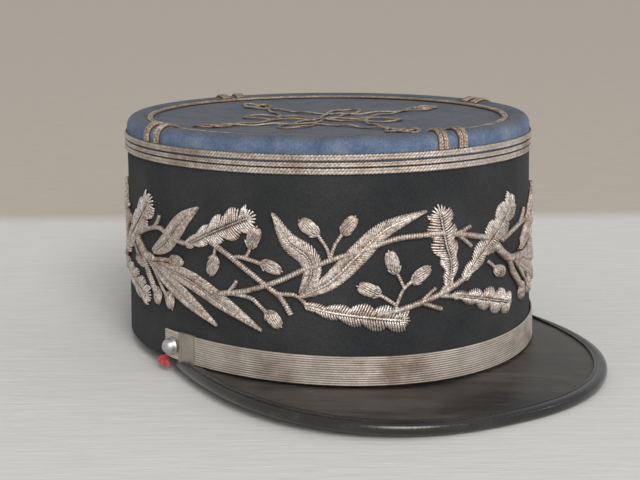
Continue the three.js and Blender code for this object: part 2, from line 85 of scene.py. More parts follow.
def ovalHalves(z):
    part = z / crown["height"]
    pinch = crown["waist"] * 4 * part * (1 - part)
    halfX = lerp(crown["baseWidth"], crown["topWidth"], part) / 2 - pinch
    halfY = lerp(crown["baseLength"], crown["topLength"], part) / 2 - pinch
    return halfX, halfY, crown["lean"] * part


# A point on the outside of the crown, or "out" clear of it; the angle starts at the front.
def crownPoint(angle, z, out=0.0):
    halfX, halfY, shift = ovalHalves(z)
    across, along = sin(angle), cos(angle)
    slant = hypot(across / halfX, along / halfY)
    return Vector((
        halfX * across + out * across / halfX / slant,
        -halfY * along + shift - out * along / halfY / slant,
        z,
    ))


def girthTable(count=3600):
    halfX, halfY, _ = ovalHalves(crown["height"] / 2)
    lengths = [0.0]
    for k in range(count):
        angle = tau * (k + 0.5) / count
        step = hypot(halfX * cos(angle), halfY * sin(angle))
        lengths.append(lengths[-1] + tau / count * step)
    return lengths


girthLengths = girthTable()
girth = girthLengths[-1]


# The angle a given distance round the crown from its front, towards the wearer's left.
def angleAt(distance):
    turns = distance // girth
    rest = distance - turns * girth
    k = min(bisect.bisect_right(girthLengths, rest) - 1, len(girthLengths) - 2)
    part = (rest - girthLengths[k]) / (girthLengths[k + 1] - girthLengths[k])
    return tau * (turns + (k + part) / (len(girthLengths) - 1))


def bandPoint(distance, z, out):
    return crownPoint(angleAt(distance), z, out)


# Evenly spaced points on a smooth line through the given ones, and its length.
def routeOf(points, count=48):
    given = [Vector(point).to_3d() for point in points]
    ends = [2 * given[0] - given[1], *given, 2 * given[-1] - given[-2]]
    dense = []
    for a, b, c, d in zip(ends, ends[1:], ends[2:], ends[3:]):
        for k in range(16):
            t = k / 16
            square, cube = t * t, t * t * t
            dense.append(0.5 * (2 * b + (c - a) * t + (2 * a - 5 * b + 4 * c - d) * square
                                + (3 * b - a - 3 * c + d) * cube))
    dense.append(given[-1])
    lengths = [0.0]
    for a, b in zip(dense, dense[1:]):
        lengths.append(lengths[-1] + (b - a).length)
    total = lengths[-1]
    route = []
    for k in range(count + 1):
        place = total * k / count
        low = min(bisect.bisect_right(lengths, place) - 1, len(dense) - 2)
        span = lengths[low + 1] - lengths[low]
        route.append(dense[low].lerp(dense[low + 1], clamp((place - lengths[low]) / span)))
    return route, total


# A place on a route, or straight on from its ends.
def routePoint(route, part):
    place = part * (len(route) - 1)
    k = max(0, min(int(place), len(route) - 2))
    return route[k].lerp(route[k + 1], place - k)


# The level direction of a route at a place along it.
def routeAhead(route, part):
    ahead = routePoint(route, part + 0.02) - routePoint(route, part - 0.02)
    return ahead.normalized()


# A grid of quads bent into shape. "place" takes how far along and across, 0 to 1, and gives the
# point and how deep it lies between its neighbours' crests (0 on a crest, 1 in a hollow).
# On the blue cloth the same value says how far the cloth is greyed, partly by fading and partly by
# painted sheen.
def bendGrid(bm, along, across, place):
    hollow = bm.verts.layers.float.get("hollow") or bm.verts.layers.float.new("hollow")
    made = bmesh.ops.create_grid(bm, x_segments=along, y_segments=across, size=0.5)["verts"]
    for vert in made:
        vert.co, vert[hollow] = place(vert.co.x + 0.5, vert.co.y + 0.5)
    return made


def addObject(name, data):
    made = bpy.data.objects.new(name, data)
    bpy.context.scene.collection.objects.link(made)
    return made


# Turns a bmesh in the cap's own millimetres into a finished piece that rides on the cap.
def finishPiece(bm, name, finish, node, sharp=180):
    bmesh.ops.remove_doubles(bm, verts=bm.verts, dist=1e-4)
    bmesh.ops.dissolve_degenerate(bm, edges=bm.edges, dist=1e-4)
    rims = [edge for edge in bm.edges if edge.is_boundary]
    if rims:
        bmesh.ops.holes_fill(bm, edges=rims, sides=0)
    bmesh.ops.recalc_face_normals(bm, faces=bm.faces)
    bmesh.ops.transform(bm, matrix=seatFromMm, verts=bm.verts)
    mesh = bpy.data.meshes.new(name)
    bm.to_mesh(mesh)
    bm.free()
    mesh.shade_smooth()
    mesh.set_sharp_from_angle(angle=radians(sharp))
    mesh.materials.append(finish)
    piece = addObject(name, mesh)
    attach(piece, "root")
    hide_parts(node)
    print(name, sum(len(face.vertices) - 2 for face in mesh.polygons), "triangles")


# A piece made of one bent grid.
def gridPiece(name, finish, node, along, across, place, sharp=180):
    bm = bmesh.new()
    bendGrid(bm, along, across, place)
    finishPiece(bm, name, finish, node, sharp)


# A socket among the inputs is linked, anything else is set.
def setInputs(tree, node, inputs):
    for name, value in inputs.items():
        if isinstance(value, bpy.types.NodeSocket):
            tree.links.new(value, node.inputs[name])
        else:
            node.inputs[name].default_value = value


def addNode(tree, kind, inputs=None, **settings):
    made = tree.nodes.new("ShaderNode" + kind)
    for name, value in settings.items():
        setattr(made, name, value)
    setInputs(tree, made, inputs or {})
    return made


def startFinish(name):
    finish = bpy.data.materials.new(name)
    finish.use_nodes = True
    tree = finish.node_tree
    place = addNode(tree, "TexCoord").outputs["Object"]
    return finish, tree, tree.nodes["Principled BSDF"], place


def noiseOf(tree, place, scale, detail=4.0, rough=0.6, stretch=(1, 1, 1)):
    spread = addNode(tree, "Mapping", {"Vector": place, "Scale": stretch})
    made = addNode(tree, "TexNoise", {
        "Vector": spread.outputs["Vector"], "Scale": scale, "Detail": detail, "Roughness": rough,
    })
    return made.outputs["Fac"]


# A ramp between colours, or between numbers for roughness and masks.
def rampOf(tree, value, *stops):
    ramp = addNode(tree, "ValToRGB", {"Fac": value})
    elements = ramp.color_ramp.elements
    while len(elements) < len(stops):
        elements.new(0.5)
    for element, (place, tone) in zip(elements, stops):
        element.position = place
        element.color = (*tone, 1) if isinstance(tone, tuple) else (tone, tone, tone, 1)
    return ramp.outputs["Color"]


def blendOf(tree, share, first, second, mode="MIX"):
    first, second = ((*tone, 1) if isinstance(tone, tuple) else tone for tone in (first, second))
    inputs = {0: share, 6: first, 7: second}
    return addNode(tree, "Mix", inputs, data_type="RGBA", blend_type=mode).outputs[2]


# How deep a point lies between the crests, as bendGrid stored it.
def hollowOf(tree):
    return addNode(tree, "Attribute", attribute_name="hollow").outputs["Fac"]


def mathOf(tree, kind, first, second):
    return addNode(tree, "Math", {0: first, 1: second}, operation=kind).outputs[0]


def bumpOf(tree, height, strength, distance, under=None):
    inputs = {"Height": height, "Strength": strength, "Distance": distance}
    if under is not None:
        inputs["Normal"] = under
    return addNode(tree, "Bump", inputs).outputs["Normal"]


shaderWords = {
    "metallic": "Metallic", "sheen": "Sheen Weight", "sheenRough": "Sheen Roughness",
    "sheenTint": "Sheen Tint", "coat": "Coat Weight", "coatRough": "Coat Roughness",
    "gloss": "Specular IOR Level",
}


def setShader(tree, shader, colour, roughness, normal, **fixed):
    setInputs(tree, shader, {"Base Color": colour, "Roughness": roughness, "Normal": normal})
    setInputs(tree, shader, {shaderWords[name]: value for name, value in fixed.items()})


# A plain finish: two tones in soft patches over a fine grain.
def plainFinish(name, patches, stops, grain, depth, rough, **fixed):
    finish, tree, shader, place = startFinish(name)
    tone = rampOf(tree, noiseOf(tree, place, *patches), *stops)
    bump = bumpOf(tree, noiseOf(tree, place, *grain), depth, 0.0002)
    if isinstance(rough, tuple):
        rough = rampOf(tree, noiseOf(tree, place, 300, 4), (0.3, rough[0]), (0.7, rough[1]))
    setShader(tree, shader, tone, rough, bump, **fixed)
    return finish


# Fulled wool: short fibres, soft mottling, a few light specks of lint.
def feltFinish(name, look):
    finish, tree, shader, place = startFinish(name)
    broad = noiseOf(tree, place, look["patches"], 5, 0.62)
    fibre = noiseOf(tree, place, 1500, 6, 0.75)
    cloth = rampOf(tree, broad, (0.34, look["deep"]), (0.5, look["middle"]), (0.66, look["worn"]))
    if "fadedAndSheen" in look:
        mark = hollowOf(tree)  # on this cloth it says how far the cloth is greyed: partly faded, partly painted sheen
        dustyAndSheen = rampOf(tree, noiseOf(tree, place, 75, 5, 0.7), (0.38, look["fadedAndSheen"]),
                       (0.62, look["dustyAndSheen"]))
        cloth = blendOf(tree, rampOf(tree, mark, (0.2, 0.0), (1.0, 0.85)), cloth, dustyAndSheen)
    grain = rampOf(tree, fibre, (0.3, look["grain"]), (0.7, 1.0))
    cloth = blendOf(tree, 1.0, cloth, grain, "MULTIPLY")
    specks = addNode(tree, "TexVoronoi", {"Vector": place, "Scale": look["lintSpread"]})
    lint = rampOf(tree, specks.outputs["Distance"], (0.0, 1.0), (look["lintSize"], 0.0))
    some = rampOf(tree, noiseOf(tree, place, 60, 3), (0.5, 0.0), (0.62, 1.0))
    lint = blendOf(tree, 1.0, lint, some, "MULTIPLY")
    cloth = blendOf(tree, lint, cloth, look["lint"])
    nap = bumpOf(tree, fibre, 0.6, 0.0005)
    nap = bumpOf(tree, noiseOf(tree, place, 260, 4, 0.7), look["fuzz"], 0.0008, nap)
    setShader(tree, shader, cloth, 0.95, nap, sheen=look["sheen"], sheenRough=0.45,
              sheenTint=(*look["sheenTint"], 1), gloss=0.2)
    return finish


darkClothLook = {
    "deep": (0.035, 0.036, 0.038), "middle": (0.045, 0.046, 0.048), "worn": (0.06, 0.06, 0.062),
    "grain": 0.45, "patches": 26, "lint": (0.12, 0.12, 0.12), "lintSpread": 420, "lintSize": 0.06,
    "sheen": 0.05, "sheenTint": (0.85, 0.85, 0.86), "fuzz": 0.4,
}
blueClothLook = {
    "deep": (0.12, 0.175, 0.29), "middle": (0.18, 0.24, 0.37), "worn": (0.27, 0.32, 0.42),
    "grain": 0.4, "patches": 90, "lint": (0.34, 0.35, 0.37), "lintSpread": 460, "lintSize": 0.07,
    "sheen": 0.1, "sheenTint": (0.85, 0.88, 0.95), "fuzz": 0.6,
    # the greyed tones of the top: partly faded and dusty, partly painted sheen
    "fadedAndSheen": (0.085, 0.098, 0.115), "dustyAndSheen": (0.16, 0.15, 0.14),
}
darkCloth = feltFinish("darkCloth", darkClothLook)
blueCloth = feltFinish("blueCloth", blueClothLook)


# Silver wire, tarnished brown in the hollows and in patches; on the braids on top the brightest
# patches are painted glints.
def wireFinish(name, look):
    finish, tree, shader, place = startFinish(name)
    depth = hollowOf(tree)
    tarnishAndGlint = noiseOf(tree, place, look["patches"], 5, 0.65)
    fine = noiseOf(tree, place, look["fleckScale"], 4, 0.7)
    # on the braids on top the bright end of this ramp is painted glints
    metalTone = rampOf(tree, tarnishAndGlint, (0.32, look["brown"]), (0.5, look["silver"]),
                       (0.7, look["bright"]))
    flecks = rampOf(tree, fine, (0.36, look["fleck"]), (0.62, 1.0))
    metalTone = blendOf(tree, 1.0, metalTone, flecks, "MULTIPLY")
    shade = rampOf(tree, depth, (look["hollowStart"], 0.0), (0.95, 1.0))
    metalTone = blendOf(tree, shade, metalTone, look["hollow"])
    roughness = rampOf(tree, fine, (0.3, look["rough"][0]), (0.7, look["rough"][1]))
    coil = bumpOf(tree, noiseOf(tree, place, 2200, 2), 0.8, 0.0003)
    setShader(tree, shader, metalTone, roughness, coil, metallic=look["metallic"])
    return finish


bullionLook = {
    "brown": (0.52, 0.38, 0.3), "silver": (0.84, 0.7, 0.6), "bright": (0.96, 0.88, 0.8),
    "hollow": (0.1, 0.06, 0.04), "hollowStart": 0.36, "patches": 120, "rough": (0.24, 0.46),
    "fleck": 0.28, "fleckScale": 1000, "metallic": 0.5,
}
brightBullionLook = {
    "brown": (0.68, 0.53, 0.43), "silver": (1.0, 0.88, 0.79), "bright": (1.0, 0.96, 0.91),
    "hollow": (0.18, 0.12, 0.085), "hollowStart": 0.45, "patches": 90, "rough": (0.2, 0.4),
    "fleck": 0.45, "fleckScale": 900, "metallic": 0.7,
}
braidLook = {
    "brown": (0.5, 0.39, 0.31), "silver": (0.8, 0.69, 0.6), "bright": (0.93, 0.85, 0.78),
    "hollow": (0.14, 0.095, 0.07), "hollowStart": 0.4, "patches": 60, "rough": (0.3, 0.5),
    "fleck": 0.45, "fleckScale": 900, "metallic": 0.55,
}
# the braids on top have worn down to their yellow core; their pale yellow bright patches are painted
# glints
tarnishAndGlintLook = {
    "brown": (0.3, 0.215, 0.15), "silver": (0.6, 0.5, 0.4), "bright": (1.0, 0.93, 0.8),
    "hollow": (0.24, 0.15, 0.085), "hollowStart": 0.3, "patches": 160, "rough": (0.24, 0.46),
    "fleck": 0.35, "fleckScale": 800, "metallic": 0.55,
}
bullion = wireFinish("bullion", bullionLook)
brightBullion = wireFinish("brightBullion", brightBullionLook)
silverBraid = wireFinish("silverBraid", braidLook)
tarnishAndGlintBraid = wireFinish("tarnishAndGlintBraid", tarnishAndGlintLook)
print("wire and cloth finishes made")


# The dark band: a stiff cloth wall with softened edges, bare inside.
band = {"steps": 240, "edge": 0.7, "gap": 0.15, "footRise": 1.6, "riseEnd": 40}


# A piece round the crown from a closed profile of (out, z) corners, with how far the cloth is greyed
# at a corner as a third value, partly by fading and partly by painted sheen. Corners near the foot
# rise with it at the sides.
def ovalPiece(name, finish, node, profile, steps, footRise, sharp):
    count = len(profile)

    def place(u, v):
        out, z, *fadedAndSheen = profile[round(v * count) % count]
        angle = tau * (round(u * steps) % steps) / steps
        z += footRise * sin(angle) ** 2 * clamp(1 - z / band["riseEnd"])
        return crownPoint(angle, z, out), fadedAndSheen[0] if fadedAndSheen else 0.0

    gridPiece(name, finish, node, steps, count, place, sharp)


def bandProfile():
    top = crown["seam"] - band["gap"]
    edge, inner = band["edge"], -crown["wall"]
    outside = [(0, lerp(edge, top - edge, k / 8)) for k in range(9)]
    inside = [(inner, lerp(top - edge, edge, k / 4)) for k in range(5)]
    return [
        (-edge * 0.3, edge * 0.3), *outside, (-edge * 0.3, top - edge * 0.3), (-edge, top),
        (inner + edge, top), *inside, (inner + edge, 0), (-edge, 0),
    ]


ovalPiece("crownBand", darkCloth, "crown_band", bandProfile(), band["steps"],
          band["footRise"], 80)


# The blue cloth above the seam, rolled over the edge of the top.
rim = {"roll": 4.3, "lip": 9.9, "lipDrop": 2.2, "thickness": 2.0, "steps": 240}


def rimProfile():
    start = crown["height"] - rim["roll"]
    # the third values grey the cloth where it turns to face up: partly fading, partly painted sheen
    roll = [
        (-rim["roll"] * (1 - cos(turn)), start + rim["roll"] * sin(turn), turn / 1.3)
        for turn in (radians(10 * k) for k in range(10))
    ]
    lipTop = crown["height"] - rim["lipDrop"]
    slope = [
        (lerp(-rim["roll"], -rim["lip"], part),
         lerp(crown["height"], lipTop, part ** 1.5), 1.2) for part in (0.25, 0.5, 0.75, 1.0)
    ]
    low = crown["seam"] + band["gap"]
    return [
        (0, low), (0, lerp(low, start, 0.5)), *roll, *slope,
        (-rim["lip"], lipTop - rim["thickness"]), (-rim["roll"], crown["height"] - rim["thickness"]),
        (-crown["wall"], start), (-crown["wall"], low),
    ]


ovalPiece("crownRim", blueCloth, "crown_rim", rimProfile(), rim["steps"], 0.0, 70)

# The top: a disc of the same cloth, dished towards its middle.
disc = {"sink": 4.3, "thickness": 2.0, "gap": 0.3, "steps": 160, "rows": 14}
discRise = ((0, 0), (0.45, 0.12), (0.8, 0.55), (1, 1))
hub = ovalHalves(crown["height"])[2]  # where the middle of the top lies


# Height of the top's cloth at a share of the way from its middle to its edge.
def discTop(reach):
    reach = clamp(reach)
    k = next(k for k in range(1, len(discRise)) if discRise[k][0] >= reach)
    (near, low), (far, high) = discRise[k - 1], discRise[k]
    rise = 0.35 * lerp(low, high, (reach - near) / (far - near)) + 0.65 * reach ** 2.3
    return crown["height"] - disc["sink"] + (disc["sink"] - rim["lipDrop"]) * rise


def discEdge(angle):
    return crownPoint(angle, crown["height"], -rim["lip"] - disc["gap"])


def discReach(x, y):
    edge = discEdge(atan2(x / crown["topWidth"], -(y - hub) / crown["topLength"]))
    return hypot(x, y - hub) / hypot(edge.x, edge.y - hub)


# The grid runs out over the top of the cloth and back in underneath.
def discPlace(u, v):
    edge = discEdge(tau * (round(u * disc["steps"]) % disc["steps"]) / disc["steps"])
    rows = disc["rows"]
    row = round(v * (2 * rows + 1))
    reach = (row if row <= rows else 2 * rows + 1 - row) / rows
    z = discTop(reach) - (disc["thickness"] if row > rows else 0)
    # the whole top is greyed: partly faded, partly painted sheen
    return Vector((edge.x * reach, hub + (edge.y - hub) * reach, z)), 1.0


gridPiece("crownTop", blueCloth, "crown_disc", disc["steps"], 2 * disc["rows"] + 1,
          discPlace, 50)

# Soutache: two fine woven cords side by side with a groove between them.
braid = {
    "weave": 1.15, "seamWeave": 1.5, "weaveDepth": 0.13, "step": 0.36, "front": 0.76, "around": 16,
}


# Sweeps a braid along frames of (point, side, up), "run" apart; a closed one ends on its first
# frame. "groove" is how deep the line down its middle lies. A twill braid is woven in slanting
# lines right across, and another in two halves that meet in its middle.
def sweepBraid(bm, frames, width, thickness, run, weave, groove=0.58, twill=False):
    count = len(frames) - 1
    closed = (frames[0][0] - frames[-1][0]).length < 1e-6
    if closed:  # a whole number of waves
        weave = run * count / round(run * count / weave)

    def place(u, v):
        k = round(u * count)
        v %= 1.0
        point, side, up = frames[k]
        if v <= braid["front"]:
            x = -width / 2 * cos(pi * v / braid["front"])
            share = abs(x) / width * 2
            lobe = abs(sin(pi * share)) ** 0.7
            high = 1 - groove * (1 - lobe) if share < 0.5 else 0.2 + 0.8 * lobe
            lean = x / width * 1.6 if twill else share * 0.75
            wave = cos(tau * (k * run / weave - lean))
            lift = thickness * (high + braid["weaveDepth"] * wave)
            deep = clamp((1.0 - high) * 1.1 + 0.32 - 0.32 * wave)
        else:
            x = width / 2 * (1 - 2 * (v - braid["front"]) / (1 - braid["front"]))
            lift, deep = 0.0, 1.0
        return point + side * x + up * lift, deep

    bendGrid(bm, count, braid["around"], place)


# name, height of the middle, width and thickness
seamBraids = (("Upper", 89.1, 2.6, 0.9), ("Middle", 86.4, 2.0, 0.8), ("Lower", 83.9, 2.6, 0.9))


def ringFrames(count, z, out, lift):
    frames = []
    for k in range(count + 1):
        angle = tau * (k % count) / count
        point = crownPoint(angle, z, out)
        ahead = crownPoint(angle + 0.001, z, out) - crownPoint(angle - 0.001, z, out)
        ahead.normalize()
        outward = ahead.cross(upward)
        side, up = (upward, outward) if lift == "out" else (outward, upward)
        frames.append((point, side, up))
    return frames


for name, middle, width, thickness in seamBraids:
    bm = bmesh.new()
    count = round(girth / braid["step"])
    sweepBraid(bm, ringFrames(count, middle, 0.15, "out"), width, thickness, girth / count,
               braid["seamWeave"], 0.3, True)
    finishPiece(bm, "seamBraid" + name, silverBraid, "seam_braid_" + name.lower())

# One braid round the top, over the edge of the disc.
ring = {"inset": 10.2, "width": 2.6, "thickness": 1.1, "foot": 0.2, "length": 524.0}
bm = bmesh.new()
ringCount = round(ring["length"] / braid["step"])
ringZ = crown["height"] - rim["lipDrop"] + ring["foot"]
ringFrameList = [
    (point + Vector((0, 0, ringZ - crown["height"])), side, up)
    for point, side, up in ringFrames(ringCount, crown["height"], -ring["inset"], "up")
]
sweepBraid(bm, ringFrameList, ring["width"], ring["thickness"], ring["length"] / ringCount,
           braid["weave"])
finishPiece(bm, "ringBraid", tarnishAndGlintBraid, "ring_braid")

# Pairs of braid that climb over the rim; each strand is two soutaches side by side.
riser = {
    "spacing": 9.0, "strand": 2.15, "thickness": 1.1, "low": 90.5, "lift": 0.15, "level": 5.0,
    "endGap": 0.9, "endDrop": 1.25, "length": 14.0, "weave": 1.1, "steps": 44,
}
riserPlaces = {"front": -0.4, "left": 138.5, "back": 288.5, "right": -138.5}


# The way over the rim, as (out, z, turn of the surface), at a share of its length.
def riserRoute(part):
    start = crown["height"] - rim["roll"]
    low, lift, level = riser["low"], riser["lift"], riser["level"]
    upright = start - low
    arc = rim["roll"] * pi / 2
    place = part * (upright + arc + level)
    if place < upright:
        return lift, low + place, 0.0
    if place < upright + arc:
        turn = (place - upright) / rim["roll"]
        return (-rim["roll"] + (rim["roll"] + lift) * cos(turn),
                start + (rim["roll"] + lift) * sin(turn), turn)
    share = (place - upright - arc) / level
    return (lerp(-rim["roll"], -rim["lip"] + riser["endGap"], share),
            crown["height"] + lift - riser["endDrop"] * share ** 1.6, pi / 2)


def addRiser(bm, distance):
    angle = angleAt(distance)
    ahead = (crownPoint(angle + 0.001, 90) - crownPoint(angle - 0.001, 90)).normalized()
    outward = ahead.cross(upward)
    for shift in (-0.5, 0.5):
        frames = []
        for k in range(riser["steps"] + 1):
            out, z, turn = riserRoute(k / riser["steps"])
            point = crownPoint(angle, min(z, crown["height"]), out)
            point.z = z
            up = outward * cos(turn) + upward * sin(turn)
            frames.append((point + ahead * shift * riser["strand"], ahead, up))
        sweepBraid(bm, frames, riser["strand"], riser["thickness"], riser["length"] / riser["steps"],
                   riser["weave"])


for side, middle in riserPlaces.items():
    for letter, step in (("a", -0.5), ("b", 0.5)):
        bm = bmesh.new()
        addRiser(bm, middle + step * riser["spacing"])
        finishPiece(bm, "riser" + side.capitalize() + letter.upper(), tarnishAndGlintBraid,
                    "riser_%s_%s" % (side, letter))
print("braids done")

# The knot on the top: four arms of paired cords that cross and end in small loops.
knot = {
    "cord": 0.7, "thickness": 0.6, "lift": 0.1, "apart": 0.8, "over": 0.28, "crossing": 9.0,
    "weave": 1.1,
}
arms = ((-90, 76), (0, 61), (90, 72), (180, 61))  # degrees and length
# along the arm as a share of its length, across it in millimetres
armStrand = ((0.2, -14), (0.36, -7), (0.58, -3.4), (0.72, 0), (0.8, 4.6), (0.87, 6.4), (0.9, 3),
             (0.86, -1.5))
armTip = ((0.84, -3), (0.93, -4.2), (1, 0), (0.93, 4.2), (0.84, 3))
petal = ((5, 0), (17, 7), (27, 13), (31, 20), (25, 25), (16, 20), (9, 12), (2, 4))


def addTopCord(bm, points, over):
    route, length = routeOf(points, 40)
    count = max(4, round(length / 0.5))
    for shift in (-0.5, 0.5):
        frames = []
        for k in range(count + 1):
            part = k / count
            point = routePoint(route, part)
            ahead = routeAhead(route, part)
            side = Vector((-ahead.y, ahead.x, 0))
            point = point + side * knot["apart"] * shift
            wave = 1 + sin(pi * (length / knot["crossing"]) * part + over)
            point.z = discTop(discReach(point.x, point.y)) + knot["lift"] + knot["over"] * wave
            frames.append((point, side, upward))
        sweepBraid(bm, frames, knot["cord"], knot["thickness"], length / count, knot["weave"])


bm = bmesh.new()
for index, (degrees, reach) in enumerate(arms):
    turn = Matrix.Rotation(radians(degrees), 3, "Z")
    for mirror in (-1, 1):
        strand = [turn @ Vector((x * reach, y * mirror, 0)) for x, y in armStrand]
        addTopCord(bm, strand, index + mirror)
    addTopCord(bm, [turn @ Vector((x * reach, y, 0)) for x, y in armTip], index)
    addTopCord(bm, [turn @ Vector((x, y, 0)) for x, y in petal], index + 2)
addTopCord(bm, [(-6, -3), (0, 0), (6, 3)], 0)
addTopCord(bm, [(-3, 6), (0, 0), (3, -6)], 3)
finishPiece(bm, "crownKnot", tarnishAndGlintBraid, "crown_knot")
print("knot done")

# The embroidered garland: one spray of oak and olive, three times round the band.
garland = {
    "start": -152.0, "length": 178.0, "thread": 0.42, "base": 0.2, "wrap": 1.0, "wrapDepth": 0.15,
    "pitch": {"olive": 0.98, "oak": 1.0},
    "slant": {"olive": 0.95, "oak": 0.3},  # how far a thread runs on towards the tip
    "ends": (0.0, 0.14, 0.3, 0.5, 0.7, 0.86, 0.96, 1.0),  # where a thread's rings are along it
}
longSpray = (girth - garland["length"]) / 2
leftStart = garland["start"] + garland["length"]
longer = longSpray / garland["length"]
sprays = (
    {"name": "Right", "start": garland["start"], "stretch": 1.0},
    {"name": "Left", "start": leftStart, "stretch": longer},
    {"name": "Back", "start": leftStart + longSpray, "stretch": longer},
)
# kind, width, whether the rib is broad and bright, and its route
leaves = (
    ("olive", 9.6, False, ((13, 44.8), (24, 50.6), (35.3, 60.7), (45.5, 67.3))),
    ("olive", 7.8, False, ((8, 42), (25, 35), (40, 28.3), (55, 21.1))),
    ("olive", 8.2, False, ((18, 41.2), (40, 37.4), (58, 30.5), (76, 21.4))),
    ("olive", 9, False, ((91.5, 36.3), (96, 44.5), (94.6, 51.5), (87, 57.3), (80.7, 68))),
    ("olive", 8.8, True, ((91, 35.6), (102.6, 41.6), (113, 51.6), (123.5, 61.4), (140, 67.8))),
    ("oak", 12.6, False, ((38, 51.2), (54, 58.5), (72, 66))),
    ("oak", 13, False, ((149, 37), (150.3, 46), (148, 54), (145.2, 67.4))),
    ("oak", 13.4, False, ((155.6, 38.6), (165, 47.5), (176, 56), (187.6, 66.6))),
    ("oak", 11, False, ((150.5, 33.8), (163, 30.8), (185.2, 24.6))),
    ("oak", 10.8, True, ((93, 32.6), (104, 30), (118, 27.9), (132.5, 25.7))),
)
# place, direction in degrees, length and width
buds = (
    ((31.5, 44), 3, 9, 4.8), ((16.7, 26.8), -85, 7.8, 6.3), ((26.6, 26.6), -70, 7.6, 6.2),
    ((53, 44.8), -110, 9, 6.2), ((72.6, 58), 70, 9.4, 6.3), ((80.2, 46.7), -18, 9.4, 5.4),
    ((81, 26.2), -42, 8.6, 6), ((95, 62.8), 145, 9.4, 6), ((110.4, 63.7), 55, 8.6, 5.6),
    ((117.5, 38.6), 160, 9.6, 5.6), ((126.5, 49), 108, 9.6, 5.8), ((138, 43.3), 38, 9.6, 5.6),
    ((177.5, 39), -15, 8.4, 5.5),
)
# width and route
stems = (
    (3.2, ((-4, 50.6), (0, 46.6), (6, 43), (15, 42.4))),
    (1.8, ((12, 41.8), (19, 42.7), (28.5, 43.8))),
    (2.6, ((5, 43), (8, 37), (12.5, 32.3), (16, 28.4))),
    (1.6, ((10, 41), (16, 35.8), (22.2, 29.8), (25.6, 28))),
    (1.9, ((0, 51), (10.4, 54.4), (20, 55.8), (30, 52.7), (41, 51.8))),
    (1.8, ((14, 55), (17, 57.5), (19.8, 61))),
    (2.2, ((52, 54.6), (63.5, 48.7), (80.1, 38.1), (84.5, 34.4), (88.2, 28.4))),
    (1.5, ((55, 54), (53.6, 47.6))),
    (1.7, ((62.5, 49), (67, 49.7), (78, 47.4))),
    (1.5, ((66.5, 49.4), (69.6, 50.6), (71.8, 55))),
    (2.2, ((55, 34), (67.6, 36.2), (82.2, 41.2), (92.1, 46), (96, 48))),
    (1.7, ((61, 35.4), (63.5, 38), (65, 40.4))),
    (1.7, ((62.5, 35), (71, 34), (75, 31.3), (79.4, 27.6))),
    (1.8, ((79.4, 38.2), (83, 36.6), (90, 36.2), (95, 32))),
    (2.2, ((95, 47), (105.2, 51), (116, 54), (129, 58), (148, 58.6))),
    (1.5, ((103.2, 50), (102, 54.7), (97.4, 61.6))),
    (1.5, ((103, 50), (105, 56), (109, 62))),
    (2.4, ((120, 28.6), (132.3, 31), (147, 35.4), (158, 40.6))),
    (2.0, ((145.6, 35), (149.4, 39.4))),
    (2.0, ((144, 34.6), (153, 33))),
    (1.7, ((138, 32.8), (141.5, 35.8), (144, 37.6))),
    (1.9, ((137, 32.7), (141, 31), (146.5, 28.8))),
    (1.5, ((127.6, 29.4), (127.4, 32.4), (119.6, 38))),
    (1.5, ((127.7, 31.4), (131, 38.4), (136, 42))),
    (1.4, ((131, 38.4), (129.7, 41.7), (127.6, 46))),
    (2.4, ((150, 58), (158, 56.6), (170, 53.6))),
    (1.8, ((152, 57.7), (156, 58.4), (159.8, 59.8))),
    (1.8, ((153.5, 57.4), (157, 54.5), (160.3, 51.8))),
    (1.5, ((169, 44.6), (176, 39.6))),
)


# A place on the band from one along the spray.
def sprayPoint(spray, along, z, out):
    return bandPoint(spray["start"] + along * spray["stretch"], z, out)


# A thread laid on the band through points of (along the spray, height, out), closed at its ends.
def addBandThread(bm, spray, line, radius, sides=6, wrap=0.0):
    count = len(line) - 1
    frames = []
    travelled = 0.0
    for k, point in enumerate(line):
        ahead = line[min(k + 1, count)] - line[max(k - 1, 0)]
        level = Vector((ahead.x, ahead.y)).normalized()
        travelled += (point - line[max(k - 1, 0)]).length
        size = 0.0 if k in (0, count) else radius * (0.9 if k in (1, count - 1) else 1.0)
        frames.append((point, level, size, travelled))

    def place(u, v):
        point, level, size, far = frames[round(u * count)]
        turn = tau * v
        deep = 0.5 - 0.5 * sin(turn)
        if wrap:
            wave = cos(tau * far / wrap + turn)
            size *= 1 + garland["wrapDepth"] * wave
            deep = clamp(deep * 0.8 + 0.3 - 0.3 * wave)
        across = size * cos(turn)
        out = point.z + size * sin(turn)
        return sprayPoint(spray, point.x - level.y * across, point.y + level.x * across, out), deep

    bendGrid(bm, count, sides, place)


# How wide a leaf is on one side, at a share of the way from its stalk to its tip.
def leafHalf(kind, width, part, side):
    half = width / 2
    if kind == "olive":
        return half * (0.09 + 0.91 * max(0.0, sin(pi * clamp(part) ** 0.9)) ** 0.85)
    body = min(1.0, 0.3 + 1.15 * part) * (1 - 0.42 * clamp((part - 0.8) / 0.3) ** 2)
    lobes = abs(sin(pi * (4.4 * part + (0.4 if side < 0 else 0.06)))) ** 0.6
    return half * body * (0.6 + 0.46 * lobes)


def leafPoint(route, part, offset, out):
    point = routePoint(route, part)
    ahead = routeAhead(route, part)
    return Vector((point.x - ahead.y * offset, point.y + ahead.x * offset, out))


